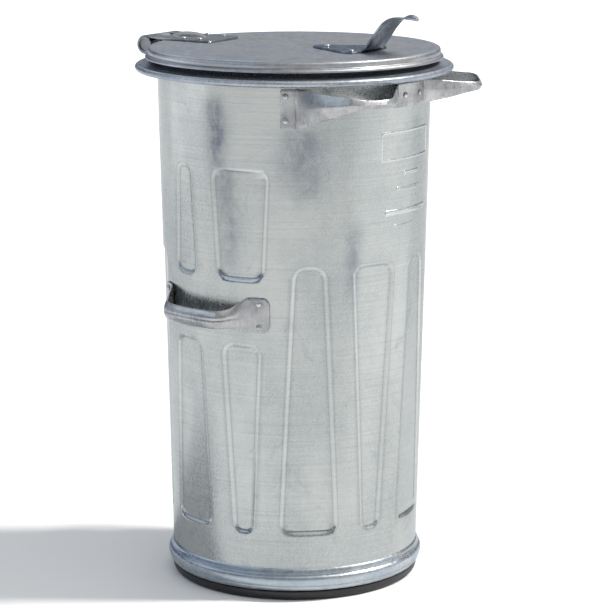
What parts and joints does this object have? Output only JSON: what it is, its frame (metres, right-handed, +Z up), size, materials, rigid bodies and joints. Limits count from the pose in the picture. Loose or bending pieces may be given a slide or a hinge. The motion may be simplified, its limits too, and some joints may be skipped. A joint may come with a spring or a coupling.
{
  "type": "litter bin",
  "caption": "Round galvanised sheet-steel litter bin with a tapered panelled drum, strap handles, rubber foot ring and a hinged lid with a lifting tongue.",
  "frame": {"origin": "on the drum's axis, at the floor", "axes": "+Z up; -Y towards the lifting handles and the lid's tongue; +Y towards the lid's hinge"},
  "size_m": [0.4432, 0.4752, 0.7959],
  "materials": {
    "zinc_sheet": "hot-dip galvanised, satin with fine horizontal grain and spangle",
    "zinc_rim": "galvanised, satin",
    "zinc_lid": "weathered galvanised, matte grey",
    "zinc_handle": "galvanised, bright at the bends",
    "zinc_rivet": "galvanised",
    "foot_rubber": "matte black"
  },
  "bodies": {
    "drum": {"body_shell": "zinc_sheet", "base_pan": "zinc_sheet", "rim_collar": "zinc_rim", "foot_ring": "zinc_rim", "rubber_foot_ring": "foot_rubber", "front_double_handle": "zinc_handle", "lower_handle_left": "zinc_handle", "lower_handle_right": "zinc_handle", "hinge_bracket": "zinc_handle", "hinge_tube": "zinc_handle", "rivet_upper_1": "zinc_rivet", "rivet_upper_2": "zinc_rivet", "rivet_upper_3": "zinc_rivet", "rivet_upper_4": "zinc_rivet", "rivet_upper_5": "zinc_rivet", "rivet_upper_6": "zinc_rivet", "rivet_lower_left_1": "zinc_rivet", "rivet_lower_left_2": "zinc_rivet", "rivet_lower_left_3": "zinc_rivet", "rivet_lower_left_4": "zinc_rivet", "rivet_lower_right_1": "zinc_rivet", "rivet_lower_right_2": "zinc_rivet", "rivet_lower_right_3": "zinc_rivet", "rivet_lower_right_4": "zinc_rivet", "rivet_bracket_1": "zinc_rivet", "rivet_bracket_2": "zinc_rivet"},
    "lid": {"lid_shell": "zinc_lid", "lid_hinge_strap": "zinc_lid", "lid_lever": "zinc_handle", "rivet_hinge_1": "zinc_rivet", "rivet_hinge_2": "zinc_rivet", "rivet_hinge_3": "zinc_rivet", "rivet_hinge_4": "zinc_rivet", "rivet_lever_1": "zinc_rivet", "rivet_lever_2": "zinc_rivet", "rivet_lever_3": "zinc_rivet"}
  },
  "joints": [
    {"name": "lid_hinge", "type": "hinge", "parent": "drum", "child": "lid", "pos_m": [0, 0.229, 0.7365], "axis": [-1, 0, 0], "range_deg": [0, 230]}
  ]
}
